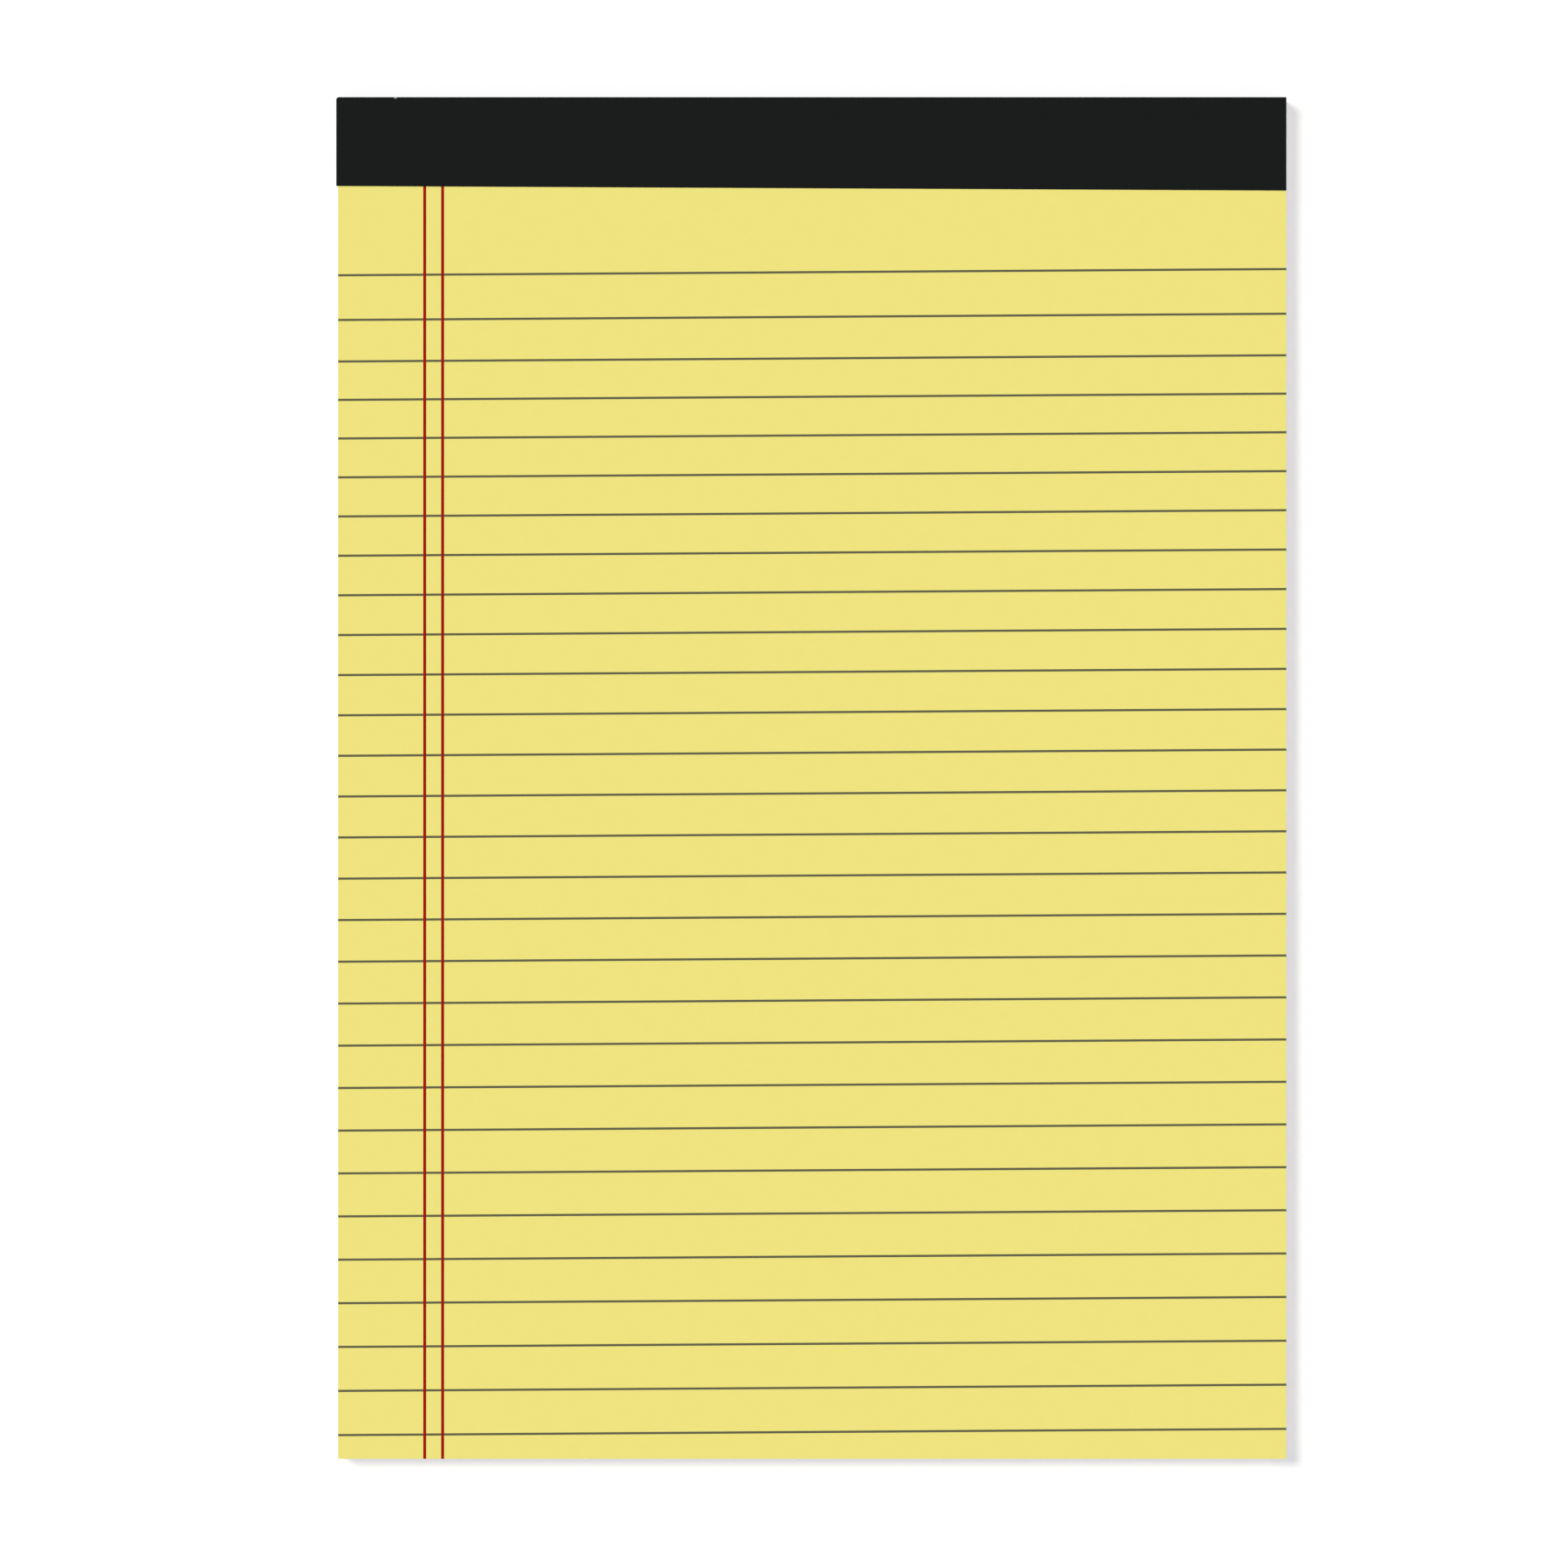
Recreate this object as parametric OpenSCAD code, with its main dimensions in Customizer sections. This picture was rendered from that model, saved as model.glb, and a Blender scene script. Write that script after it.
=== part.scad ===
// Ruled writing pad: a block of sheets on a chipboard back, stapled through the head
// and bound with one strip of tape that is folded over the staples.
// The pad lies on its back with its head towards +Y and its ruled face up.
// The origin is under the middle of its outline. Sizes are in millimetres.

/* [Sheets] */
// Width of a sheet
sheet_w = 208; // [120:1:300]
// Height of a sheet, from head to foot
sheet_h = 298.5; // [150:0.5:360]
// Number of sheets in the block
sheet_count = 50; // [30:5:100]
// Thickness of one sheet
sheet_t = 0.1; // [0.08:0.01:0.12]

/* [Backing board] */
// Thickness of the chipboard
board_t = 0.8; // [0.7:0.1:2]

/* [Binding tape] */
// Thickness of the tape
tape_t = 0.2; // [0.1:0.05:0.4]
// Length of the front flap at the pad's left side
front_flap = 19.3; // [16:0.1:30]
// How much longer the front flap is at the right side, where the tape was laid askew
flap_skew = 1; // [0:0.1:2]
// Length of the rear flap
rear_flap = 20; // [16:0.5:30]
// How far the tape stands out past the sheets on the left side
tape_overhang = 0.4; // [0:0.1:1]
// Side of the corner that is snipped off the tape at the left end of its fold
corner_snip = 0.4; // [0.1:0.1:1]

/* [Staples] */
// Number of staples along the head
staple_count = 3; // [2:1:4]
// Diameter of the wire
wire_d = 0.5; // [0.4:0.05:0.6]
// Width of a staple over its two legs
staple_w = 12; // [11:0.5:14]
// Length of each clinched end, from the outside of its leg
clinch_l = 4.5; // [2.5:0.25:4.5]
// Inside radius of the wire's bends
wire_bend = 0.4; // [0.3:0.05:0.6]
// Distance of the staples from the head of the sheets
staple_drop = 9.5; // [6:0.5:12]
// Distance from a side of the sheets to the middle of the nearest staple
staple_inset = 40; // [20:1:50]
// Clearance between the wire and the seat that it has pressed for itself
wire_clear = 0.05; // [0.03:0.01:0.08]

/* [Ruling] */
// Distance from the head of the sheet to the first rule, at mid width
first_rule = 38.2; // [34:0.1:60]
// Space between the first two rules
head_pitch = 9.8; // [7:0.1:12]
// Space between the third rule and the fourth
rule_pitch = 8.42; // [6:0.01:11]
// How much wider each space is than the one above it
pitch_growth = 0.051; // [0:0.001:0.08]
// Clear space under the last rule
foot_space = 5; // [3:0.5:30]
// How far a rule climbs from the left side of the sheet to the right
rule_rise = 1.37; // [0:0.01:3]
// Width of a printed rule
rule_w = 0.5; // [0.2:0.02:0.8]
// Distance from the left side of the sheet to the first margin line
margin_inset = 19; // [10:0.5:40]
// Space between the two margin lines, middle to middle
margin_gap = 3.93; // [2:0.01:6]
// Width of a margin line
margin_w = 0.66; // [0.2:0.02:0.8]
// Thickness that the dried ink is given
ink_t = 0.02; // [0.01:0.01:0.05]

/* [Hidden] */
$fn = 48;
// A cutter starts this far outside the face that it cuts
cut_past = 1;

// Plan of the pad, where the tape's overhang is on the left
pad_w = sheet_w + tape_overhang;
sheet_right = pad_w / 2;
sheet_left = sheet_right - sheet_w;
tape_left = -pad_w / 2;
pad_h = sheet_h + tape_t;
spine_y = pad_h / 2;
head_y = spine_y - tape_t;
foot_y = head_y - sheet_h;

// Levels of the layers, from the rear flap up
board_z = tape_t;
sheets_z = board_z + board_t;
face_z = sheets_z + sheet_count * sheet_t;
top_z = face_z + tape_t;

// Lower edge of the front flap, which slopes down to the right
function flap_edge(x) = head_y - front_flap - flap_skew * (x - tape_left) / pad_w;

// Staple wire, bent round the middle of the wire
wire_r = wire_d / 2;
bend_mid = wire_bend + wire_r;
wire_sink = wire_clear / 2;
crown_z = face_z - wire_sink - wire_r;
clinch_z = board_z + wire_sink + wire_r;
leg_x = staple_w / 2 - wire_r;
clinch_end_x = staple_w / 2 - clinch_l;
staple_y = head_y - staple_drop;
staple_first_x = sheet_left + staple_inset;
staple_pitch = (sheet_w - 2 * staple_inset) / (staple_count - 1);

// Ruling: the second space is midway between the first and the third
second_pitch = (head_pitch + rule_pitch) / 2;
function rule_drop(i) =
    i == 0 ? first_rule
    : i == 1 ? first_rule + head_pitch
    : first_rule + head_pitch + second_pitch + (i - 2) * rule_pitch
        + pitch_growth * (i - 2) * (i - 3) / 2;
last_drop = sheet_h - foot_space;
rule_drops = [for (i = 0; rule_drop(i) <= last_drop; i = i + 1) rule_drop(i)];
sheet_mid = (sheet_left + sheet_right) / 2;
function rule_y(drop, x) = head_y - drop + rule_rise * (x - sheet_mid) / sheet_w;
margin_x = [for (i = [0, 1]) sheet_left + margin_inset + i * margin_gap];
rule_stops = [
    [sheet_left, margin_x[0] - margin_w / 2],
    [margin_x[0] + margin_w / 2, margin_x[1] - margin_w / 2],
    [margin_x[1] + margin_w / 2, sheet_right]
];

// A flat layer cut to the sheet's size, standing on level z
module layer(z, thick) {
    translate([sheet_left, foot_y, z]) cube([sheet_w, sheet_h, thick]);
}

// A quarter bend of wire that leads from the crown's side, at the origin, down to its leg
module quarter_bend(r) {
    rotate([90, 0, 0]) rotate_extrude(angle = 90) translate([bend_mid, 0]) circle(r);
}

// One half of a staple about its own middle: half the crown, a leg and a clinched end
module half_staple(grow) {
    r = wire_r + grow;
    bend_x = leg_x - bend_mid;
    translate([0, 0, crown_z]) rotate([0, 90, 0]) cylinder(r = r, h = bend_x);
    translate([bend_x, 0, crown_z - bend_mid]) quarter_bend(r);
    translate([leg_x, 0, clinch_z + bend_mid])
        cylinder(r = r, h = crown_z - clinch_z - 2 * bend_mid);
    translate([bend_x, 0, clinch_z + bend_mid]) mirror([0, 0, 1]) quarter_bend(r);
    translate([clinch_end_x - grow, 0, clinch_z])
        rotate([0, 90, 0]) cylinder(r = r, h = bend_x - clinch_end_x + grow);
}

// All the staples. A seat is the same wire, grown by the clearance
module staple_row(grow = 0) {
    for (i = [0 : staple_count - 1])
        translate([staple_first_x + i * staple_pitch, staple_y, 0])
            for (side = [0, 1]) mirror([side, 0, 0]) half_staple(grow);
}

// Block of writing sheets, pierced by the legs and dented by the crowns
module sheets() {
    color("#EFE47F") difference() {
        layer(sheets_z, face_z - sheets_z);
        staple_row(wire_clear);
    }
}

// Chipboard back, pierced by the legs and dented by the clinched ends
module backing_board() {
    color("#8E877B") difference() {
        layer(board_z, board_t);
        staple_row(wire_clear);
    }
}

// Section of the folded tape, seen along the fold: sharp inside, rounded outside
module tape_section(flap) {
    translate([head_y - rear_flap, 0]) square([rear_flap, tape_t]);
    translate([head_y - flap, face_z]) square([flap, tape_t]);
    translate([head_y, board_z]) square([tape_t, face_z - board_z]);
    for (fold_z = [board_z, face_z])
        intersection() {
            translate([head_y, fold_z]) circle(tape_t);
            translate([head_y, fold_z == face_z ? face_z : 0]) square(tape_t);
        }
}

// Plan of what the slanted cut takes off the end of the front flap
module flap_trim() {
    from_x = tape_left - cut_past;
    to_x = sheet_right + cut_past;
    low_y = flap_edge(to_x) - 2 * cut_past;
    polygon([[from_x, flap_edge(from_x)], [from_x, low_y], [to_x, low_y], [to_x, flap_edge(to_x)]]);
}

// Plan of the corner that is snipped off, about the tape's left end at the spine
module snip_plan() {
    reach = corner_snip + cut_past;
    polygon([[-cut_past, cut_past], [-cut_past, -reach], [reach, cut_past]]);
}

// Binding tape, folded over the head and trimmed
module binding_tape() {
    color("#1C1E1D") difference() {
        translate([tape_left, 0, 0]) rotate([90, 0, 90])
            linear_extrude(pad_w) tape_section(front_flap + flap_skew + cut_past);
        translate([0, 0, face_z - tape_t / 2]) linear_extrude(2 * tape_t) flap_trim();
        translate([tape_left, spine_y, -cut_past]) linear_extrude(top_z + 2 * cut_past) snip_plan();
    }
}

// Wire staples that hold the block to its board
module staples() {
    color("#B8BBBE") staple_row();
}

// Printed writing lines, which stop at each margin line
module ruled_lines() {
    color("#605D46") translate([0, 0, face_z]) linear_extrude(ink_t)
        for (drop = rule_drops, stop = rule_stops)
            polygon([
                for (end = [[0, -1], [1, -1], [1, 1], [0, 1]])
                    [stop[end[0]], rule_y(drop, stop[end[0]]) + end[1] * rule_w / 2]
            ]);
}

// Printed double margin line, from the tape's edge to the foot
module margin_lines() {
    color("#930F06") translate([0, 0, face_z]) linear_extrude(ink_t)
        for (x = margin_x) {
            from_x = x - margin_w / 2;
            to_x = x + margin_w / 2;
            polygon([[from_x, foot_y], [to_x, foot_y], [to_x, flap_edge(to_x)], [from_x, flap_edge(from_x)]]);
        }
}

sheets();
backing_board();
binding_tape();
staples();
ruled_lines();
margin_lines();
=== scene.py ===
# %% [markdown]
# # A ruled writing pad
# The real pad is a block of yellow sheets on a grey board, stapled through its head and bound with
# one strip of black tape. The solid model already holds every piece at its true size, so it is
# loaded as a fixed frame. This lesson gives the pieces their finish, and replaces the one solid that
# a plain block can't stand for: the stack of loose sheets.

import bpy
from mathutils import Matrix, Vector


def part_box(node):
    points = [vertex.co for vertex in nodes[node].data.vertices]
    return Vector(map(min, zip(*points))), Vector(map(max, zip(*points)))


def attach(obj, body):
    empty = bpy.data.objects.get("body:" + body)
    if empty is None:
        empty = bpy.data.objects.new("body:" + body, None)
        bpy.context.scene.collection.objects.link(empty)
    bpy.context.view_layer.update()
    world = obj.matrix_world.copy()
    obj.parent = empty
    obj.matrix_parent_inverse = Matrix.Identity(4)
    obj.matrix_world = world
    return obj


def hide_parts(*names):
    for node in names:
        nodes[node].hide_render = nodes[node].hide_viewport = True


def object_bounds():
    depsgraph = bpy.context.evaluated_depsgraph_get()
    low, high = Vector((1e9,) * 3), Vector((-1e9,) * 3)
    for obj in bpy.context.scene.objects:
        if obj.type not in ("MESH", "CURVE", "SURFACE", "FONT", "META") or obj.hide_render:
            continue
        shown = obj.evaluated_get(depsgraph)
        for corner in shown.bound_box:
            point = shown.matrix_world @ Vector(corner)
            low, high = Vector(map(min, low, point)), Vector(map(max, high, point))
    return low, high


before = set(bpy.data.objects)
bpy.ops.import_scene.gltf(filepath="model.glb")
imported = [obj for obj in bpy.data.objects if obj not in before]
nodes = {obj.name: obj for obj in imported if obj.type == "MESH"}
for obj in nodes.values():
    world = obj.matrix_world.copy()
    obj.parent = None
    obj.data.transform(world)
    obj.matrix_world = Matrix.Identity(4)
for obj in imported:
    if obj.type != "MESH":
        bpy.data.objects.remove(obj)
cad_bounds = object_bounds()
MM = 0.001
for node_name in sorted(nodes):
    corners = [tuple(round(c / MM, 2) for c in corner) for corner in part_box(node_name)]
    print(node_name, "from", corners[0], "to", corners[1], "mm")

# %% [markdown]
# ## Tools for the finishes
# Every finish is a small tree of nodes. One function adds a node, sets it up and links it, whatever
# its kind, so that a tree reads as a list of what happens to the surface. Colours are written as
# sRGB hex values, as they look, and a second function turns them to the linear numbers that the
# shader works with. What is the same all over a finish is set when it is started, and its patterns
# are fed to the shader at its end.

# %% Helpers for trees and colours
import bpy

# A Mix node lists the sockets of every data type, numbers first, so its colours are taken by place
MIX_A, MIX_B, MIX_COLOUR = 6, 7, 2


def add(tree, kind, inputs=None, **settings):
    """Adds a node, sets its options, and links or sets its inputs. A list links several sources."""
    node = tree.nodes.new(kind)
    for name, value in settings.items():
        setattr(node, name, value)
    for key, value in (inputs or {}).items():
        for source in value if isinstance(value, list) else [value]:
            if isinstance(source, bpy.types.NodeSocket):
                tree.links.new(source, node.inputs[key])
            else:
                node.inputs[key].default_value = source
    return node


def linear(hex_colour):
    """Turns an sRGB hex colour to the linear colour that a shader takes."""
    steps = [int(hex_colour[i : i + 2], 16) / 255 for i in (1, 3, 5)]
    return (*(s / 12.92 if s <= 0.04045 else ((s + 0.055) / 1.055) ** 2.4 for s in steps), 1.0)


def new_finish(name, **even_values):
    """Starts a material with the values that are the same all over it."""
    material = bpy.data.materials.new(name)
    material.use_nodes = True
    shader = material.node_tree.nodes["Principled BSDF"]
    for socket, value in even_values.items():
        shader.inputs[socket.replace("_", " ")].default_value = value
    return material, material.node_tree, shader


def feed(shader, **patterns):
    """Links the patterns of a finish to its shader."""
    for socket, pattern in patterns.items():
        shader.id_data.links.new(pattern, shader.inputs[socket.replace("_", " ")])


def per_metre(size_mm):
    """The scale at which a pattern's features are about this size."""
    return 1 / (size_mm * MM)


print("mid grey in linear is", [round(c, 3) for c in linear("#808080")])

# %% [markdown]
# ## Yellow writing paper
# The sheets are uncoated paper, dyed in the pulp. The eye gets an even, matt yellow. Close up there
# are faint clouds, a few millimetres across, where the fibres settled more or less densely, and a
# felt of short fibres that keeps the surface from shining. An image could hold both, but two noises
# on Object coordinates have a real size and work from every side. A fibre is about 0.03 mm wide,
# too fine to show, so it is drawn ten times as wide.

# %% Finish of the top sheet
PAPER_DEEP = "#E9DE79"
PAPER_PALE = "#EDE27F"
CLOUD_MM = 2.5
FIBRE_MM = 0.3
FIBRE_STRETCH = 4
FIBRE_CURL = 0.6
FIBRE_WEIGHT = 0.4
FIBRE_RELIEF_MM = 0.004
PAPER_ROUGHNESS = (0.85, 0.95)

writing_paper, tree, shader = new_finish("uncoated_yellow_writing_paper", Specular_IOR_Level=0.15)
place = add(tree, "ShaderNodeTexCoord").outputs["Object"]
clouds = add(
    tree,
    "ShaderNodeTexNoise",
    {"Vector": place, "Scale": per_metre(CLOUD_MM), "Detail": 3.0},
).outputs["Fac"]
lengthwise = add(
    tree, "ShaderNodeMapping", {"Vector": place, "Scale": (1, 1 / FIBRE_STRETCH, 1)}
).outputs["Vector"]
fibres = add(
    tree,
    "ShaderNodeTexNoise",
    {
        "Vector": lengthwise,
        "Scale": per_metre(FIBRE_MM),
        "Detail": 2.0,
        "Distortion": FIBRE_CURL,
    },
).outputs["Fac"]
dye = add(
    tree,
    "ShaderNodeMix",
    {"Factor": FIBRE_WEIGHT, "A": clouds, "B": fibres},
    data_type="FLOAT",
)
paper_colour = add(
    tree,
    "ShaderNodeMix",
    {"Factor": dye.outputs[0], MIX_A: linear(PAPER_DEEP), MIX_B: linear(PAPER_PALE)},
    data_type="RGBA",
)
matt = add(
    tree,
    "ShaderNodeMapRange",
    {"Value": fibres, "To Min": PAPER_ROUGHNESS[0], "To Max": PAPER_ROUGHNESS[1]},
)
felt = add(tree, "ShaderNodeBump", {"Height": fibres, "Distance": FIBRE_RELIEF_MM * MM})
feed(
    shader,
    Base_Color=paper_colour.outputs[MIX_COLOUR],
    Roughness=matt.outputs["Result"],
    Normal=felt.outputs["Normal"],
)
print(writing_paper.name, "has clouds of", CLOUD_MM, "mm and fibres of", FIBRE_MM, "mm")

# %% [markdown]
# ## The cut edges of the stack
# All the sheets were trimmed together by one stroke of a guillotine, so their edges make straight
# walls. The eye sees the stack there as hair lines, because each sheet takes the dye and the cut a
# little differently, with faint upright streaks from the blade, and because the gaps between sheets
# hold thin lines of shade. That shade is painted shade here, in the darker sheets. The printed lines
# run off the sheet, so their ends line up as small ticks. The shade and the ticks are attributes of
# the mesh, because they belong to a sheet and to a line, and a noise knows neither. One sheet is 0.1
# mm, too thin to show from a step away, so the shade also drifts over runs of several sheets.

# %% Finish of the cut edges
# From the darker sheets, partly painted shade of the gaps between sheets, to the paler ones
EDGE_DEEP = "#D2C24C"
EDGE_PALE = "#FFF5A0"
STREAK_MM = 0.8
STREAK_HEIGHT_MM = 12
STREAK_WEIGHT = 0.15
EDGE_RELIEF_MM = 0.01
EDGE_ROUGHNESS = (0.88, 1.0)

cut_paper, tree, shader = new_finish("guillotined_yellow_paper_edge", Specular_IOR_Level=0.1)
place = add(tree, "ShaderNodeTexCoord").outputs["Object"]
# Each sheet's tone on the mesh, partly its own and partly painted shade of the gaps between sheets
shade = add(tree, "ShaderNodeAttribute", attribute_name="sheet_shade")
line_end = add(tree, "ShaderNodeAttribute", attribute_name="line_end")
upright = add(
    tree, "ShaderNodeMapping", {"Vector": place, "Scale": (1, 1, STREAK_MM / STREAK_HEIGHT_MM)}
).outputs["Vector"]
streaks = add(
    tree, "ShaderNodeTexNoise", {"Vector": upright, "Scale": per_metre(STREAK_MM), "Detail": 2.0}
).outputs["Fac"]
cut_shade = add(
    tree,
    "ShaderNodeMix",
    {"Factor": STREAK_WEIGHT, "A": shade.outputs["Fac"], "B": streaks},
    data_type="FLOAT",
)
edge_colour = add(
    tree,
    "ShaderNodeMix",
    {"Factor": cut_shade.outputs[0], MIX_A: linear(EDGE_DEEP), MIX_B: linear(EDGE_PALE)},
    data_type="RGBA",
)
ticked = add(
    tree,
    "ShaderNodeMix",
    {
        "Factor": line_end.outputs["Alpha"],
        MIX_A: edge_colour.outputs[MIX_COLOUR],
        MIX_B: line_end.outputs["Color"],
    },
    data_type="RGBA",
)
matt = add(
    tree,
    "ShaderNodeMapRange",
    {"Value": streaks, "To Min": EDGE_ROUGHNESS[0], "To Max": EDGE_ROUGHNESS[1]},
)
burr = add(tree, "ShaderNodeBump", {"Height": streaks, "Distance": EDGE_RELIEF_MM * MM})
feed(
    shader,
    Base_Color=ticked.outputs[MIX_COLOUR],
    Roughness=matt.outputs["Result"],
    Normal=burr.outputs["Normal"],
)
print(cut_paper.name, "has streaks every", STREAK_MM, "mm")

# %% [markdown]
# ## One sheet
# A sheet is a thin slab, pierced where the staples go through. Its outline needs more than four
# corners, because each line that runs off it gets a short stretch of edge of its own. Those places
# are read from the printed lines of the frame, so they meet the lines on the face exactly.

# %% Where the lines run off the sheet
X, Y = 0, 1
NEAR = 0.005 * MM

sheet_low, sheet_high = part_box("sheets")
sheet_size = sheet_high - sheet_low
middle_x = (sheet_low.x + sheet_high.x) / 2
head_y = sheet_high.y


def line_ends(node_name, edge_axis, edge_place, along_axis):
    """Pairs of places along one edge of the sheet, between which each line runs off it."""
    points = [v.co for v in nodes[node_name].data.vertices]
    places = {round(p[along_axis], 6) for p in points if abs(p[edge_axis] - edge_place) < NEAR}
    ordered = sorted(places)
    return list(zip(ordered[::2], ordered[1::2]))


left_ends = line_ends("ruled_lines", X, sheet_low.x, Y)
right_ends = line_ends("ruled_lines", X, sheet_high.x, Y)
foot_ends = line_ends("margin_lines", Y, sheet_low.y, X)
print("rules that end on the left:", len(left_ends), "and on the right:", len(right_ends))
print("margin lines that end at the foot:", len(foot_ends))

# %% [markdown]
# Each corner of the outline carries the tick on the stretch of edge that follows it: a colour, and
# how strongly it shows. Only the film of ink shows in the edge of a sheet, so a tick is fainter than
# its line.

# %% Outline of the sheet
RULE_INK = ("#5A5740", "#66634C")
MARGIN_INK = ("#950B03", "#A31006")
TICK_STRENGTH = 0.45

bare = (0.0, 0.0, 0.0, 0.0)
rule_tick = (*linear(RULE_INK[0])[:3], TICK_STRENGTH)
margin_tick = (*linear(MARGIN_INK[0])[:3], TICK_STRENGTH)


def about_head(points):
    """Measures an outline from the middle of the sheet's head, where the sheet is held."""
    return [(x - middle_x, y - head_y, tick) for x, y, tick in points]


def sheet_outline():
    """The corners of a sheet, each with the tick on the stretch of edge that follows it."""
    points = [(sheet_low.x, head_y, bare)]
    for low, high in reversed(left_ends):
        points += [(sheet_low.x, high, rule_tick), (sheet_low.x, low, bare)]
    points.append((sheet_low.x, sheet_low.y, bare))
    for left, right in foot_ends:
        points += [(left, sheet_low.y, margin_tick), (right, sheet_low.y, bare)]
    points.append((sheet_high.x, sheet_low.y, bare))
    for low, high in right_ends:
        points += [(sheet_high.x, low, rule_tick), (sheet_high.x, high, bare)]
    points.append((sheet_high.x, head_y, bare))
    return about_head(points)


print("a sheet has", len(sheet_outline()), "corners")

# %% [markdown]
# The staples are hidden under the tape, but they are real wire in the frame, so the sheets make room
# for them. A leg's hole is a little oblong, because the wire bends inwards at both ends. The top few
# sheets, into which a staple's crown is pressed, have one long slot. Both are the same shape: a slot
# with round ends. The sizes that a box can't give are those of the solid model.

# %% Outlines of the holes
import math

STAPLE_COUNT = 3
STAPLE_WIDTH = 12 * MM
WIRE_BEND = 0.4 * MM
WIRE_ROOM = 0.05 * MM
ROUND_STEPS = 6


def slot_outline(from_x, to_x, y, radius):
    """A slot with round ends, between the middles of its two ends."""
    turns = [math.pi * (step / ROUND_STEPS - 0.5) for step in range(ROUND_STEPS + 1)]
    right = [(to_x + radius * math.cos(t), y + radius * math.sin(t), bare) for t in turns]
    left = [(from_x - radius * math.cos(t), y - radius * math.sin(t), bare) for t in turns]
    return about_head(right + left)


staples_low, staples_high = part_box("staples")
wire = staples_high.y - staples_low.y
staple_y = (staples_low.y + staples_high.y) / 2
leg_x = (STAPLE_WIDTH - wire) / 2
hole_radius = wire / 2 + WIRE_ROOM
first_staple = staples_low.x + STAPLE_WIDTH / 2
staple_pitch = (staples_high.x - staples_low.x - STAPLE_WIDTH) / (STAPLE_COUNT - 1)
leg_holes, crown_slots = [], []
for x in [first_staple + i * staple_pitch for i in range(STAPLE_COUNT)]:
    leg_holes.append(slot_outline(x - leg_x, x - leg_x + WIRE_BEND, staple_y, hole_radius))
    leg_holes.append(slot_outline(x + leg_x - WIRE_BEND, x + leg_x, staple_y, hole_radius))
    crown_slots.append(slot_outline(x - leg_x, x + leg_x, staple_y, hole_radius))
print(len(leg_holes), "holes for wire", round(wire / MM, 2), "mm thick")

# %% [markdown]
# A sheet is now built as a closed mesh: an upper and a lower rim round each outline, a wall between
# them, and the two faces filled in. Each sheet is a little thinner than its share of the stack, which
# leaves the breath of air that lies between real sheets.

# %% Build the two kinds of sheet
import bmesh

SHEET_COUNT = 50
AIR_SHARE = 0.05

sheet_pitch = sheet_size.z / SHEET_COUNT
sheet_thickness = sheet_pitch * (1 - AIR_SHARE)


def make_sheet(name, holes):
    """A closed sheet with holes, whose upper face is at height 0."""
    mesh_work = bmesh.new()
    line_end = mesh_work.faces.layers.float_color.new("line_end")
    rims = {0.0: [], -sheet_thickness: []}
    for outline in [sheet_outline(), *holes]:
        loops = [[mesh_work.verts.new((x, y, z)) for x, y, _ in outline] for z in rims]
        upper, lower = loops
        for i in range(len(outline)):
            wall = mesh_work.faces.new((upper[i - 1], lower[i - 1], lower[i], upper[i]))
            wall[line_end] = outline[i - 1][2]
        for loop, edges in zip(loops, rims.values()):
            edges += [mesh_work.edges.get((loop[i - 1], loop[i])) for i in range(len(loop))]
    for edges in rims.values():
        bmesh.ops.triangle_fill(mesh_work, use_beauty=True, edges=edges, normal=(0, 0, 1))
    bmesh.ops.recalc_face_normals(mesh_work, faces=mesh_work.faces)
    mesh = bpy.data.meshes.new(name)
    mesh_work.to_mesh(mesh)
    mesh_work.free()
    return bpy.data.objects.new(name, mesh)


pierced_sheet = make_sheet("pierced_sheet", leg_holes)
dented_sheet = make_sheet("dented_sheet", crown_slots)
for sheet in (pierced_sheet, dented_sheet):
    bpy.context.scene.collection.objects.link(sheet)
    print(sheet.name, "has", len(sheet.data.polygons), "faces")
print("a sheet is", round(sheet_thickness / MM, 3), "mm thick")

# %% [markdown]
# ## The stack
# Fifty sheets lie one above the other, and what differs between them follows a rule, so Geometry
# Nodes repeat the one sheet. The tree sets a point for each sheet, stores the sheet's shade on its
# point, and puts a sheet on every point. Python could copy the mesh as well, but the tree keeps the
# sizes in one place and its inputs can be changed later.

# %% Inputs of the tree, and a point for each sheet
STACK_INPUTS = {
    "Sheet": "NodeSocketObject",
    "Dented sheet": "NodeSocketObject",
    "Count": "NodeSocketInt",
    "Dented count": "NodeSocketInt",
    "First sheet": "NodeSocketVector",
    "Pitch": "NodeSocketFloat",
    "Sheet size": "NodeSocketVector",
    "Trim wander": "NodeSocketFloat",
    "Shade run": "NodeSocketFloat",
    "Seed": "NodeSocketInt",
    "Material": "NodeSocketMaterial",
}

stack_tree = bpy.data.node_groups.new("stack_of_sheets", "GeometryNodeTree")
for name, kind in STACK_INPUTS.items():
    stack_tree.interface.new_socket(name, in_out="INPUT", socket_type=kind)
stack_tree.interface.new_socket("Geometry", in_out="OUTPUT", socket_type="NodeSocketGeometry")
given = add(stack_tree, "NodeGroupInput").outputs
index = add(stack_tree, "GeometryNodeInputIndex").outputs["Index"]
rise = add(stack_tree, "ShaderNodeCombineXYZ", {"Z": given["Pitch"]}).outputs["Vector"]
levels = add(
    stack_tree,
    "GeometryNodeMeshLine",
    {"Count": given["Count"], "Start Location": given["First sheet"], "Offset": rise},
).outputs["Mesh"]
print("the tree takes", len(STACK_INPUTS), "inputs")

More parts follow.
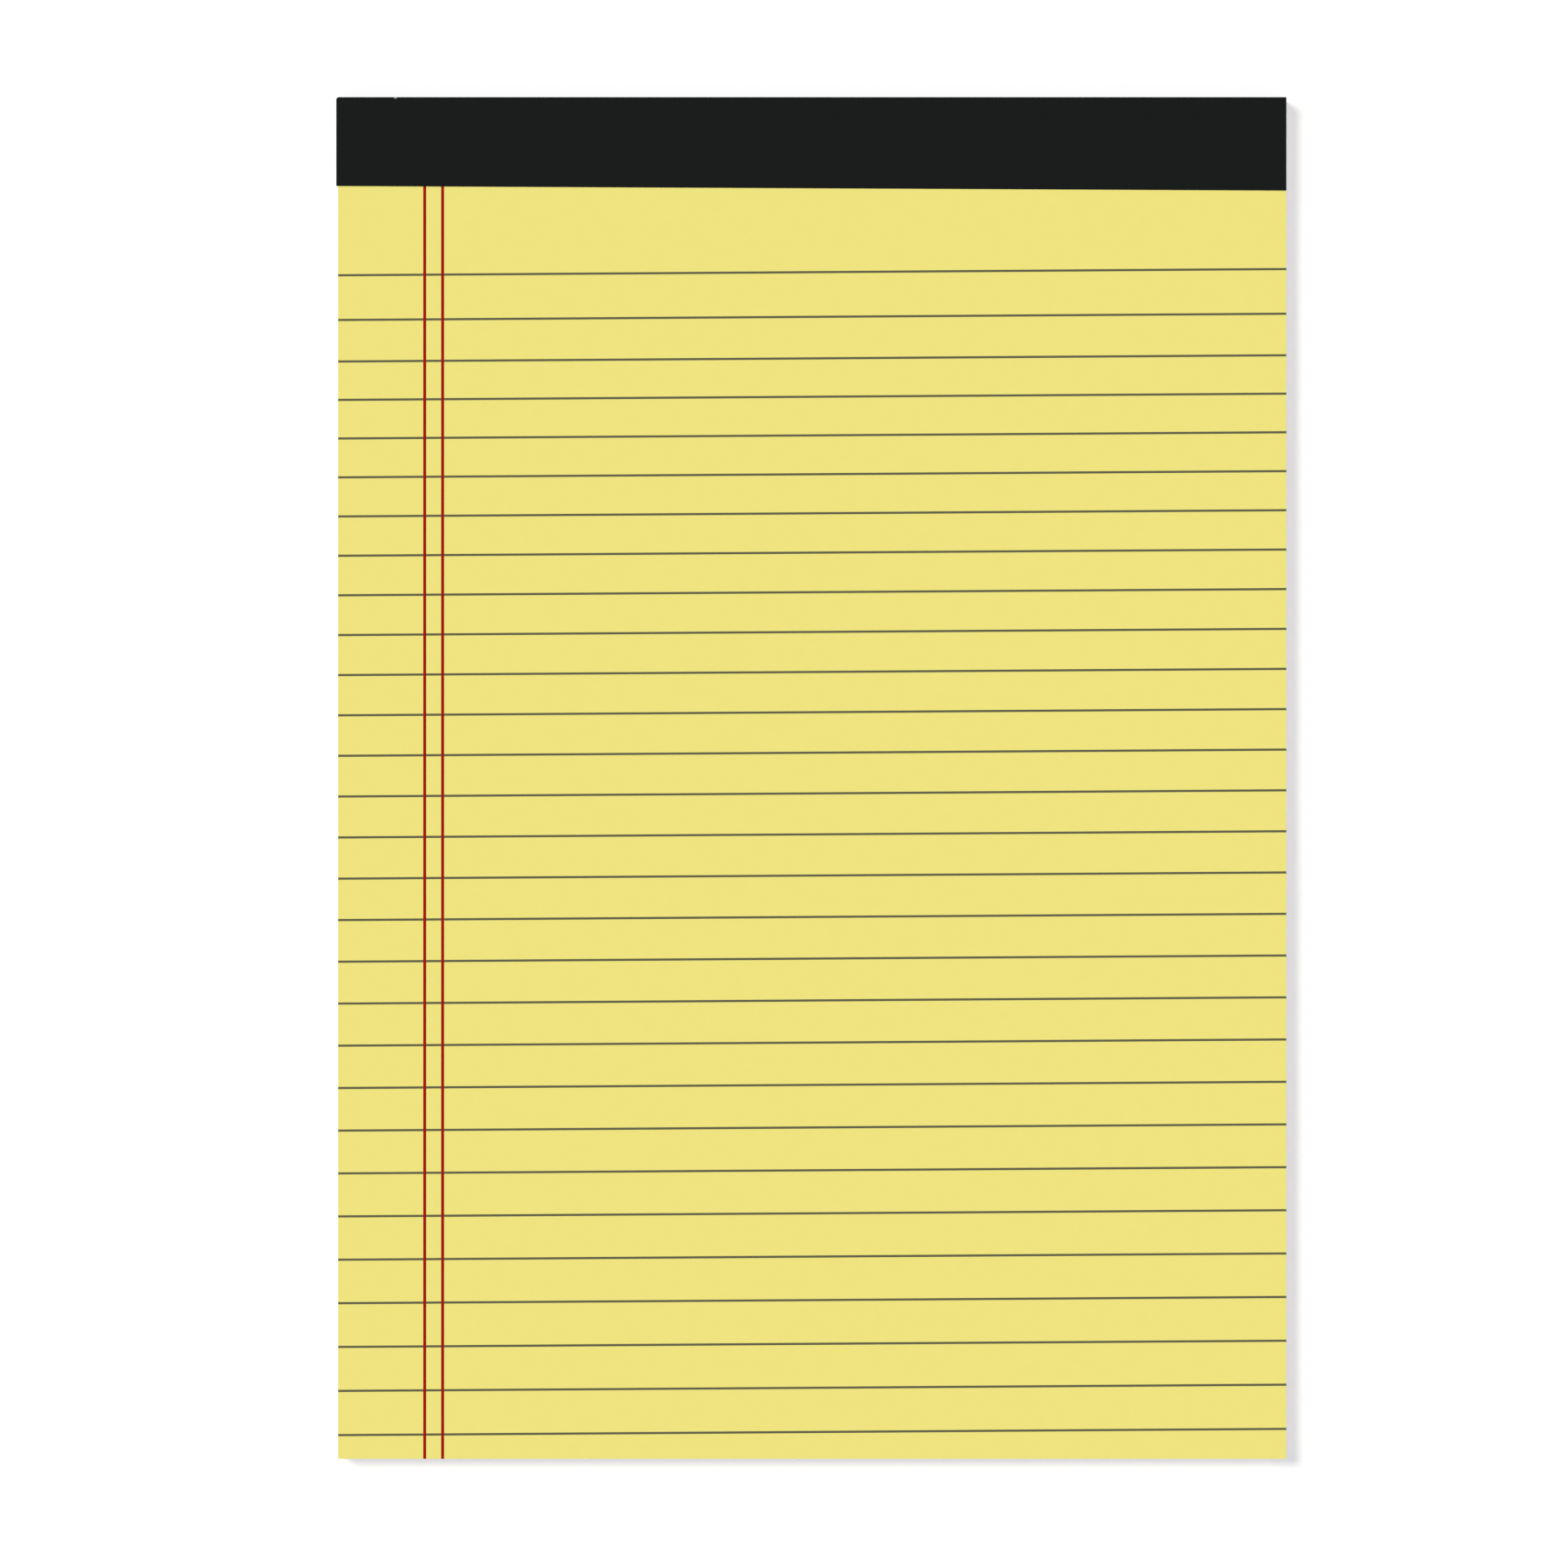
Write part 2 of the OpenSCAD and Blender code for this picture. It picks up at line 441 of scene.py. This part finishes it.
# %% [markdown]
# A stack's edge looks banded, because sheets from the same part of a roll of paper lie together. The
# darker sheets also stand for the thin shade in the gaps between sheets, so that part is painted
# shade. A random shade for each sheet would blend to one even tone, so most of the shade is a slow
# noise that runs up the stack, and only a part of it is the sheet's own.

# %% Shade of each sheet
# A noise seldom leaves the middle of its range, so that part is stretched over the whole
NOISE_LOW, NOISE_HIGH = 0.25, 0.75
SINGLE_WEIGHT = 0.35
# A Random Value node lists the sockets of every data type too, vectors first
RANDOM_NUMBER = 1

run = add(stack_tree, "ShaderNodeMath", {0: index, 1: given["Shade run"]}, operation="DIVIDE")
run_place = add(stack_tree, "ShaderNodeMath", {0: run.outputs[0], 1: given["Seed"]}, operation="ADD")
drift = add(
    stack_tree,
    "ShaderNodeTexNoise",
    {"W": run_place.outputs[0], "Scale": 1.0, "Detail": 0.0},
    noise_dimensions="1D",
)
full_drift = add(
    stack_tree,
    "ShaderNodeMapRange",
    {"Value": drift.outputs["Fac"], "From Min": NOISE_LOW, "From Max": NOISE_HIGH},
)
single = add(stack_tree, "FunctionNodeRandomValue", {"Seed": given["Seed"]}, data_type="FLOAT")
# Each sheet's tone, partly its own and partly painted shade of the gaps between sheets
sheet_shade = add(
    stack_tree,
    "ShaderNodeMix",
    {
        "Factor": SINGLE_WEIGHT,
        "A": full_drift.outputs["Result"],
        "B": single.outputs[RANDOM_NUMBER],
    },
    data_type="FLOAT",
)
shaded = add(
    stack_tree,
    "GeometryNodeStoreNamedAttribute",
    {"Geometry": levels, "Name": "sheet_shade", "Value": sheet_shade.outputs[0]},
    data_type="FLOAT",
    domain="POINT",
).outputs["Geometry"]
print("a sheet's own shade counts for", SINGLE_WEIGHT, "and its run for the rest")

# %% [markdown]
# The blade pushes the sheets a little as it goes down, so each ends a hair away from its neighbours.
# A sheet draws how far it falls short across and along, and dividing by its size turns that to a
# scale. It is shrunk about the middle of its head, which stays flush against the tape.

# %% Trim of each sheet
draw = add(
    stack_tree,
    "FunctionNodeRandomValue",
    {"Max": (1, 1, 0), "Seed": given["Seed"]},
    data_type="FLOAT_VECTOR",
)
largest = add(
    stack_tree,
    "ShaderNodeVectorMath",
    {0: given["Trim wander"], 1: given["Sheet size"]},
    operation="DIVIDE",
)
shrink = add(
    stack_tree,
    "ShaderNodeVectorMath",
    {0: draw.outputs[0], 1: largest.outputs[0]},
    operation="MULTIPLY",
)
trim = add(
    stack_tree,
    "ShaderNodeVectorMath",
    {0: (1, 1, 1), 1: shrink.outputs[0]},
    operation="SUBTRACT",
)
print("the tree has", len(stack_tree.nodes), "nodes so far")

# %% [markdown]
# The points as high as the staples' crowns get the dented sheet, and all the others the pierced one.
# Two nodes with opposite choices set them, and then the copies are joined, made real and dressed.

# %% A sheet on every point
# The places of a Compare node's sockets for whole numbers
COMPARE_INT_A, COMPARE_INT_B = 2, 3

dented_from = add(
    stack_tree,
    "ShaderNodeMath",
    {0: given["Count"], 1: given["Dented count"]},
    operation="SUBTRACT",
)
layers = []
for source, operation in (("Sheet", "LESS_THAN"), ("Dented sheet", "GREATER_EQUAL")):
    chosen = add(
        stack_tree,
        "FunctionNodeCompare",
        {COMPARE_INT_A: index, COMPARE_INT_B: dented_from.outputs[0]},
        data_type="INT",
        operation=operation,
    )
    shape = add(
        stack_tree, "GeometryNodeObjectInfo", {"Object": given[source], "As Instance": True}
    )
    layer = add(
        stack_tree,
        "GeometryNodeInstanceOnPoints",
        {
            "Points": shaded,
            "Selection": chosen.outputs["Result"],
            "Instance": shape.outputs["Geometry"],
            "Scale": trim.outputs[0],
        },
    )
    layers.append(layer.outputs["Instances"])
joined = add(stack_tree, "GeometryNodeJoinGeometry", {"Geometry": layers}).outputs["Geometry"]
real = add(stack_tree, "GeometryNodeRealizeInstances", {"Geometry": joined}).outputs["Geometry"]
dressed = add(
    stack_tree, "GeometryNodeSetMaterial", {"Geometry": real, "Material": given["Material"]}
)
add(stack_tree, "NodeGroupOutput", {"Geometry": dressed.outputs["Geometry"]})
print("the finished tree has", len(stack_tree.nodes), "nodes")

# %% [markdown]
# The tree is used twice. The lower forty-nine sheets show only their edges, and the top sheet shows
# its face, so they are two pieces with two finishes. Each is turned into a plain mesh, because the
# piece that is handed on has no modifier and no instances.

# %% Make the stack and the top sheet
TRIM_WANDER = 0.1 * MM
SHADE_RUN = 3.0
STACK_SEED = 7

crown_depth = wire + WIRE_ROOM + (sheet_high.z - staples_high.z)
dented_count = math.ceil(crown_depth / sheet_pitch)


def stack_sheets(name, sizes):
    """Runs the tree with these inputs and returns the result as a plain mesh piece."""
    piece = bpy.data.objects.new(name, bpy.data.meshes.new(name))
    bpy.context.scene.collection.objects.link(piece)
    modifier = piece.modifiers.new("stack", "NODES")
    modifier.node_group = stack_tree
    for item in stack_tree.interface.items_tree:
        if item.name in sizes:
            modifier[item.identifier] = sizes[item.name]
    evaluated = piece.evaluated_get(bpy.context.evaluated_depsgraph_get())
    mesh = bpy.data.meshes.new_from_object(evaluated)
    piece.modifiers.remove(modifier)
    piece.data = mesh
    mesh.name = name
    return piece


shared_sizes = {
    "Dented sheet": dented_sheet,
    "Pitch": sheet_pitch,
    "Sheet size": sheet_size,
    "Shade run": SHADE_RUN,
    "Seed": STACK_SEED,
}
sheet_stack = stack_sheets(
    "sheet_stack",
    {
        **shared_sizes,
        "Sheet": pierced_sheet,
        "Count": SHEET_COUNT - 1,
        "Dented count": dented_count - 1,
        "First sheet": (middle_x, head_y, sheet_low.z + sheet_pitch),
        "Trim wander": TRIM_WANDER,
        "Material": cut_paper,
    },
)
top_sheet = stack_sheets(
    "top_sheet",
    {
        **shared_sizes,
        "Sheet": pierced_sheet,
        "Count": 1,
        "Dented count": 1,
        "First sheet": (middle_x, head_y, sheet_high.z),
        "Trim wander": 0.0,
        "Material": writing_paper,
    },
)
for helper in (pierced_sheet, dented_sheet):
    bpy.data.objects.remove(helper)
print(dented_count, "sheets are dented by the crowns of the staples")

# %% [markdown]
# When the pieces leave this scene, their finishes are painted on flat maps. A map made by rule of
# thumb would spend its room on the faces that lie hidden between the sheets. So each piece brings a
# map of its own, in which every sheet has a row for each of its four edges.

# %% Map of the pieces
SIDES = 4
# A face whose normal rises or falls by less than this is a wall
WALL_RISE = 0.5


def unwrap_sheets(piece, edge_share, under_share):
    """Lays the edges in the lowest part of the map, the undersides above, and the faces on top."""
    mesh = piece.data
    heights = [v.co.z / sheet_pitch for v in mesh.vertices]
    first = min(heights) // 1
    rows = SIDES * round(max(heights) - first)
    spots = mesh.uv_layers.new(name="OFBake").uv
    for face in mesh.polygons:
        across = X if abs(face.normal.x) > abs(face.normal.y) else Y
        sheet = face.center.z // sheet_pitch
        row = SIDES * (sheet - first) + 2 * across + (face.normal[across] > 0)
        for corner in face.loop_indices:
            point = mesh.vertices[mesh.loops[corner].vertex_index].co
            share = [(point[i] - sheet_low[i]) / sheet_size[i] for i in (X, Y)]
            if face.normal.z > WALL_RISE:
                spot = (share[X], under_share + (1 - under_share) * share[Y])
            elif face.normal.z < -WALL_RISE:
                spot = (share[X], edge_share + (under_share - edge_share) * share[Y])
            else:
                height = point.z / sheet_pitch - sheet
                spot = (share[1 - across], edge_share * (row + height) / rows)
            spots[corner].vector = spot
    print(piece.name, "has", len(mesh.polygons), "faces and", rows, "rows of edges in its map")


unwrap_sheets(sheet_stack, edge_share=0.8, under_share=0.9)
unwrap_sheets(top_sheet, edge_share=0.05, under_share=0.12)
for piece in (sheet_stack, top_sheet):
    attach(piece, "root")
    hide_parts("sheets")

# %% [markdown]
# ## Grey board
# The back is chipboard, pressed from mixed waste paper. The eye gets a dull grey-brown with pale and
# dark fibres lying in every direction, and here and there a fleck of print. Two noises, stretched
# across each other, give the fibres, and a third, cut off near its peaks, gives the flecks. At the
# edge the fibres lie flat, in the thin plies that the board was rolled from.

# %% Fibres of the backing board
BOARD_GREY = "#9C9588"
BOARD_DARK = "#807A6E"
BOARD_FIBRE_MM = 0.5
BOARD_FIBRE_STRETCH = 6
PLY_FLATNESS = 4
BOARD_FIBRE_CURL = 1.0
LAY_TURNS = (0.6, -0.9)
BOARD_RELIEF_MM = 0.03
BOARD_ROUGHNESS = (0.9, 1.0)
# Two noises multiplied seldom leave this range
PULP_LOW, PULP_HIGH = 0.1, 0.42

chipboard, tree, shader = new_finish("grey_recycled_chipboard", Specular_IOR_Level=0.1)
place = add(tree, "ShaderNodeTexCoord").outputs["Object"]
lays = []
for turn in LAY_TURNS:
    lie = add(
        tree,
        "ShaderNodeMapping",
        {
            "Vector": place,
            "Rotation": (0, 0, turn),
            "Scale": (1, 1 / BOARD_FIBRE_STRETCH, PLY_FLATNESS),
        },
    ).outputs["Vector"]
    lay = add(
        tree,
        "ShaderNodeTexNoise",
        {
            "Vector": lie,
            "Scale": per_metre(BOARD_FIBRE_MM),
            "Detail": 3.0,
            "Distortion": BOARD_FIBRE_CURL,
        },
    )
    lays.append(lay.outputs["Fac"])
pulp = add(tree, "ShaderNodeMath", {0: lays[0], 1: lays[1]}, operation="MULTIPLY").outputs[0]
pulp_shade = add(
    tree,
    "ShaderNodeMapRange",
    {"Value": pulp, "From Min": PULP_LOW, "From Max": PULP_HIGH},
)
board_colour = add(
    tree,
    "ShaderNodeMix",
    {
        "Factor": pulp_shade.outputs["Result"],
        MIX_A: linear(BOARD_DARK),
        MIX_B: linear(BOARD_GREY),
    },
    data_type="RGBA",
)
matt = add(
    tree,
    "ShaderNodeMapRange",
    {"Value": pulp, "To Min": BOARD_ROUGHNESS[0], "To Max": BOARD_ROUGHNESS[1]},
)
nap = add(tree, "ShaderNodeBump", {"Height": pulp, "Distance": BOARD_RELIEF_MM * MM})
print(chipboard.name, "has fibres of", BOARD_FIBRE_MM, "mm")

# %% [markdown]
# The flecks are bits of old print that came through the pulping. A noise passes a high mark only in
# small, scattered islands, and those are the flecks.

# %% Flecks in the board
BOARD_FLECK = "#5A554C"
FLECK_MM = 0.9
FLECK_FROM, FLECK_FULL = 0.7, 0.76

specks = add(
    tree, "ShaderNodeTexNoise", {"Vector": place, "Scale": per_metre(FLECK_MM), "Detail": 1.0}
)
fleck = add(
    tree,
    "ShaderNodeMapRange",
    {"Value": specks.outputs["Fac"], "From Min": FLECK_FROM, "From Max": FLECK_FULL},
)
flecked = add(
    tree,
    "ShaderNodeMix",
    {
        "Factor": fleck.outputs["Result"],
        MIX_A: board_colour.outputs[MIX_COLOUR],
        MIX_B: linear(BOARD_FLECK),
    },
    data_type="RGBA",
)
feed(
    shader,
    Base_Color=flecked.outputs[MIX_COLOUR],
    Roughness=matt.outputs["Result"],
    Normal=nap.outputs["Normal"],
)
nodes["backing_board"].data.materials[0] = chipboard
print("the flecks are up to", FLECK_MM, "mm wide")

# %% [markdown]
# ## Black binding tape
# The tape is a black paper tape with a fine linen grain rolled into it. The eye gets a flat, matt
# black that shines a little only at a low angle, with a faint grey bloom on the folds, where hands
# and shelves rub it. The grain is two sets of ridges, one along the tape and one across it. Across
# the fold a plain coordinate would smear them, so the ridges run on the sum of Y and Z, which goes
# on smoothly from a flap to the spine.

# %% Linen grain of the binding tape
THREAD_MM = 0.6
THREAD_WOBBLE = 0.8
THREAD_RELIEF_MM = 0.02
TAPE_ROUGHNESS = (0.9, 0.82)
# One cycle of a wave texture at scale 1 is this long
WAVE_LENGTH = math.pi / 10

tape_finish, tree, shader = new_finish("black_linen_grained_paper_tape", Specular_IOR_Level=0.05)
place = add(tree, "ShaderNodeTexCoord").outputs["Object"]
axes = add(tree, "ShaderNodeSeparateXYZ", {"Vector": place}).outputs
round_fold = add(tree, "ShaderNodeMath", {0: axes["Y"], 1: axes["Z"]}, operation="ADD").outputs[0]
unfolded = add(tree, "ShaderNodeCombineXYZ", {"X": axes["X"], "Y": round_fold}).outputs["Vector"]
ridges = []
for direction in ("X", "Y"):
    ridge = add(
        tree,
        "ShaderNodeTexWave",
        {
            "Vector": unfolded,
            "Scale": WAVE_LENGTH / (THREAD_MM * MM),
            "Distortion": THREAD_WOBBLE,
            "Detail": 2.0,
        },
        bands_direction=direction,
    )
    ridges.append(ridge.outputs["Fac"])
linen = add(tree, "ShaderNodeMath", {0: ridges[0], 1: ridges[1]}, operation="MAXIMUM").outputs[0]
grain = add(tree, "ShaderNodeBump", {"Height": linen, "Distance": THREAD_RELIEF_MM * MM})
matt = add(
    tree,
    "ShaderNodeMapRange",
    {"Value": linen, "To Min": TAPE_ROUGHNESS[0], "To Max": TAPE_ROUGHNESS[1]},
)
print(tape_finish.name, "has threads every", THREAD_MM, "mm")

# %% [markdown]
# A fold is where the spine meets a flap. A point's distance from it is the larger of its distances
# from the plane of the spine and from the plane of the nearer flap.

# %% Wear along the folds
TAPE_BLACK = "#161817"
TAPE_WORN = "#1E201F"
WEAR_MM = 0.4
HANDLING_MM = 4.0

tape_low, tape_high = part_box("binding_tape")
tape_middle = (tape_low + tape_high) / 2
from_spine = add(tree, "ShaderNodeMath", {0: tape_high.y, 1: axes["Y"]}, operation="SUBTRACT")
from_middle = add(tree, "ShaderNodeMath", {0: axes["Z"], 1: tape_middle.z}, operation="SUBTRACT")
height = add(tree, "ShaderNodeMath", {0: from_middle.outputs[0]}, operation="ABSOLUTE")
from_flap = add(
    tree,
    "ShaderNodeMath",
    {0: tape_high.z - tape_middle.z, 1: height.outputs[0]},
    operation="SUBTRACT",
)
from_fold = add(
    tree,
    "ShaderNodeMath",
    {0: from_spine.outputs[0], 1: from_flap.outputs[0]},
    operation="MAXIMUM",
)
near_fold = add(
    tree,
    "ShaderNodeMapRange",
    {
        "Value": from_fold.outputs[0],
        "From Min": 0.0,
        "From Max": WEAR_MM * MM,
        "To Min": 1.0,
        "To Max": 0.0,
    },
    interpolation_type="SMOOTHSTEP",
)
handling = add(
    tree, "ShaderNodeTexNoise", {"Vector": place, "Scale": per_metre(HANDLING_MM), "Detail": 4.0}
)
bloom = add(
    tree,
    "ShaderNodeMath",
    {0: near_fold.outputs["Result"], 1: handling.outputs["Fac"]},
    operation="MULTIPLY",
)
tape_colour = add(
    tree,
    "ShaderNodeMix",
    {"Factor": bloom.outputs[0], MIX_A: linear(TAPE_BLACK), MIX_B: linear(TAPE_WORN)},
    data_type="RGBA",
)
print("wear reaches", WEAR_MM, "mm from a fold")

# %% [markdown]
# In one place, near the left end, the upper fold has lost a crumb of its black coat, and the pale
# paper under it shows. It is a single spot, so it is given by its place and its size.

# %% Chip in the fold
CHIP_PALE = "#9A988F"
CHIP_X = -91.2 * MM
CHIP_MM = 0.28
CHIP_SOFT_MM = 0.15

from_chip = add(
    tree,
    "ShaderNodeVectorMath",
    {0: place, 1: (CHIP_X, tape_high.y, tape_high.z)},
    operation="DISTANCE",
)
in_chip = add(
    tree,
    "ShaderNodeMapRange",
    {
        "Value": from_chip.outputs["Value"],
        "From Min": CHIP_MM * MM,
        "From Max": (CHIP_MM + CHIP_SOFT_MM) * MM,
        "To Min": 1.0,
        "To Max": 0.0,
    },
)
chipped = add(
    tree,
    "ShaderNodeMix",
    {
        "Factor": in_chip.outputs["Result"],
        MIX_A: tape_colour.outputs[MIX_COLOUR],
        MIX_B: linear(CHIP_PALE),
    },
    data_type="RGBA",
)
feed(
    shader,
    Base_Color=chipped.outputs[MIX_COLOUR],
    Roughness=matt.outputs["Result"],
    Normal=grain.outputs["Normal"],
)
nodes["binding_tape"].data.materials[0] = tape_finish
print("the chip is", 2 * CHIP_MM, "mm wide")

# %% [markdown]
# ## Staple wire
# The staples are drawn steel wire with a thin coat of zinc. The eye gets a soft grey shine, broken by
# fine lines that the drawing die left along the wire. They are hidden under the tape, and are
# finished for whoever takes the pad apart.

# %% Finish of the staples
ZINC_BRIGHT = "#C4C7CA"
ZINC_DULL = "#9EA1A4"
DRAW_LINE_MM = 0.1
DRAW_LINE_STRETCH = 20
WIRE_ROUGHNESS = (0.45, 0.25)

staple_wire, tree, shader = new_finish("galvanised_drawn_wire", Metallic=1.0)
place = add(tree, "ShaderNodeTexCoord").outputs["Object"]
drawn = add(
    tree, "ShaderNodeMapping", {"Vector": place, "Scale": (1 / DRAW_LINE_STRETCH, 1, 1)}
).outputs["Vector"]
die_lines = add(
    tree, "ShaderNodeTexNoise", {"Vector": drawn, "Scale": per_metre(DRAW_LINE_MM), "Detail": 2.0}
).outputs["Fac"]
zinc = add(
    tree,
    "ShaderNodeMix",
    {"Factor": die_lines, MIX_A: linear(ZINC_DULL), MIX_B: linear(ZINC_BRIGHT)},
    data_type="RGBA",
)
dullness = add(
    tree,
    "ShaderNodeMapRange",
    {"Value": die_lines, "To Min": WIRE_ROUGHNESS[0], "To Max": WIRE_ROUGHNESS[1]},
)
feed(shader, Base_Color=zinc.outputs[MIX_COLOUR], Roughness=dullness.outputs["Result"])
nodes["staples"].data.materials[0] = staple_wire
print(staple_wire.name, "is on", STAPLE_COUNT, "staples")

# %% [markdown]
# ## Printed lines
# The rules and the margin lines are offset ink on uncoated paper. The eye gets thin, matt lines that
# are a little uneven, because the ink sinks in between the fibres. Both inks are the same finish in
# two colours, so one function makes them.

# %% Finish of the inks
INK_MOTTLE_MM = 0.4
INK_ROUGHNESS = (0.8, 0.9)


def printed_ink(name, deep, thin):
    """A matt ink whose film is thinner in some places than in others."""
    material, tree, shader = new_finish(name, Specular_IOR_Level=0.1)
    place = add(tree, "ShaderNodeTexCoord").outputs["Object"]
    film = add(
        tree,
        "ShaderNodeTexNoise",
        {"Vector": place, "Scale": per_metre(INK_MOTTLE_MM), "Detail": 2.0},
    ).outputs["Fac"]
    colour = add(
        tree,
        "ShaderNodeMix",
        {"Factor": film, MIX_A: linear(deep), MIX_B: linear(thin)},
        data_type="RGBA",
    )
    matt = add(
        tree,
        "ShaderNodeMapRange",
        {"Value": film, "To Min": INK_ROUGHNESS[0], "To Max": INK_ROUGHNESS[1]},
    )
    feed(shader, Base_Color=colour.outputs[MIX_COLOUR], Roughness=matt.outputs["Result"])
    return material


nodes["ruled_lines"].data.materials[0] = printed_ink("olive_grey_offset_ink", *RULE_INK)
nodes["margin_lines"].data.materials[0] = printed_ink("dark_red_offset_ink", *MARGIN_INK)
print("both inks mottle over", INK_MOTTLE_MM, "mm")

# %% [markdown]
# ## Floor and light
# The pad lies on a white table. The lamps add up to a plain level, at which a white surface just
# reaches white and a colour renders about as it is written. Much of the light comes from straight
# above, which leaves no shadow outside the pad. A key light from the upper left casts the one soft
# shadow.

# %% Floor
FLOOR_SIZE = 8.0
# A hair below the pad, so that the tape's lowest face and the floor don't share one plane
FLOOR_DROP = 0.02 * MM
FLOOR_BOUNCE = 0.9

floor_work = bmesh.new()
bmesh.ops.create_grid(floor_work, size=FLOOR_SIZE / 2)
floor_mesh = bpy.data.meshes.new("floor")
floor_work.to_mesh(floor_mesh)
floor_work.free()
floor = bpy.data.objects.new("floor", floor_mesh)
floor.location.z = cad_bounds[0].z - FLOOR_DROP
bpy.context.scene.collection.objects.link(floor)
print("the floor is", FLOOR_SIZE, "m wide")

# %% [markdown]
# No real table throws back all its light, so the floor is fully white only where the camera sees it,
# also in a reflection, and a little darker to the light that it sends to the pad. It is a matt
# surface that the lamps light, and not a glowing one, because a glowing floor would lose the shadow.

# %% White of the floor
def seen_directly(tree):
    """1 for what the camera sees, also in a mirror or through glass, and 0 for other light."""
    path = add(tree, "ShaderNodeLightPath").outputs
    direct = add(
        tree,
        "ShaderNodeMath",
        {0: path["Is Camera Ray"], 1: path["Is Glossy Ray"]},
        operation="ADD",
    )
    return add(
        tree,
        "ShaderNodeMath",
        {0: direct.outputs[0], 1: path["Is Transmission Ray"]},
        operation="ADD",
        use_clamp=True,
    ).outputs[0]


white_table = bpy.data.materials.new("white_table")
white_table.use_nodes = True
tree = white_table.node_tree
tree.nodes.remove(tree.nodes["Principled BSDF"])
table_colour = add(
    tree,
    "ShaderNodeMix",
    {
        "Factor": seen_directly(tree),
        MIX_A: (FLOOR_BOUNCE, FLOOR_BOUNCE, FLOOR_BOUNCE, 1),
        MIX_B: (1, 1, 1, 1),
    },
    data_type="RGBA",
)
table_top = add(tree, "ShaderNodeBsdfDiffuse", {"Color": table_colour.outputs[MIX_COLOUR]})
tree.links.new(table_top.outputs["BSDF"], tree.nodes["Material Output"].inputs["Surface"])
floor_mesh.materials.append(white_table)
print("the floor throws back", FLOOR_BOUNCE, "of its light")

# %% [markdown]
# Area lamps near the pad would light one end of it more than the other, so both lamps are suns, each
# with a spread that gives the soft border of a large lamp's shadow. The key is a little warm, and the
# light from above is cooler by as much, so together they are white. In the shadow only the cool one
# is left, which makes up for the yellow light that the sheets throw there.

# %% Lamps
from mathutils import Vector

# A hair over one, because the pad keeps a little of the room's light from the floor beside it
LIGHT_TOTAL = 1.03
KEY_SHARE = 0.38
ROOM_SHARE = 0.15
OVERHEAD_SHARE = LIGHT_TOTAL - KEY_SHARE - ROOM_SHARE
KEY_BLUE = 0.82
OVERHEAD_BLUE = 1 + (1 - KEY_BLUE) * KEY_SHARE / OVERHEAD_SHARE
KEY_TOWARDS = Vector((0.57, -0.35, -1.0))
OVERHEAD_TOWARDS = Vector((0, 0, -1))
KEY_SPREAD = math.radians(19)
OVERHEAD_SPREAD = math.radians(8)


def add_sun(name, share, blue, towards, spread):
    """A sun that gives the floor this share of the light that turns white to white."""
    lamp = bpy.data.lights.new(name, "SUN")
    lamp.energy = share * math.pi / -towards.normalized().z
    lamp.color = (1, 1, blue)
    lamp.angle = spread
    sun = bpy.data.objects.new(name, lamp)
    sun.rotation_euler = towards.to_track_quat("-Z", "Y").to_euler()
    bpy.context.scene.collection.objects.link(sun)
    print(name, "has strength", round(lamp.energy, 3), "and blue", round(blue, 3))


add_sun("key_light", KEY_SHARE, KEY_BLUE, KEY_TOWARDS, KEY_SPREAD)
add_sun("overhead_light", OVERHEAD_SHARE, OVERHEAD_BLUE, OVERHEAD_TOWARDS, OVERHEAD_SPREAD)

# %% [markdown]
# The room is an even white glow from all sides, which fills the shadow a little. A picture of a room
# would do the same, but on matt paper nothing of it would show. Past the edge of the floor the camera
# sees the room as plain white.

# %% Room
room = bpy.data.worlds.new("white_room")
room.use_nodes = True
tree = room.node_tree
strength = add(
    tree,
    "ShaderNodeMapRange",
    {"Value": seen_directly(tree), "To Min": ROOM_SHARE, "To Max": 1.0},
)
background = tree.nodes["Background"]
background.inputs["Color"].default_value = (1, 1, 1, 1)
tree.links.new(strength.outputs["Result"], background.inputs["Strength"])
bpy.context.scene.world = room
bpy.context.scene.view_settings.view_transform = "Standard"
print("the room gives", ROOM_SHARE, "of the light")

# %% [markdown]
# ## Camera
# The picture looks straight down on the pad, which lies a little right of its middle. One pixel of
# the square picture is a known length on the sheet, so the picture's width there and the lens give
# the height of the camera.

# %% Camera above the pad
PICTURE_WIDTH = 343.94 * MM
CAMERA_X = -5.988 * MM
CAMERA_Y = -1.318 * MM
LENS_MM = 135.0
SENSOR_MM = 36.0

camera_data = bpy.data.cameras.new("camera")
camera_data.lens = LENS_MM
camera_data.sensor_width = SENSOR_MM
camera = bpy.data.objects.new("camera", camera_data)
camera.location = (CAMERA_X, CAMERA_Y, sheet_high.z + PICTURE_WIDTH * LENS_MM / SENSOR_MM)
bpy.context.scene.collection.objects.link(camera)
bpy.context.scene.camera = camera
print("the camera is", round(camera.location.z, 3), "m above the floor")
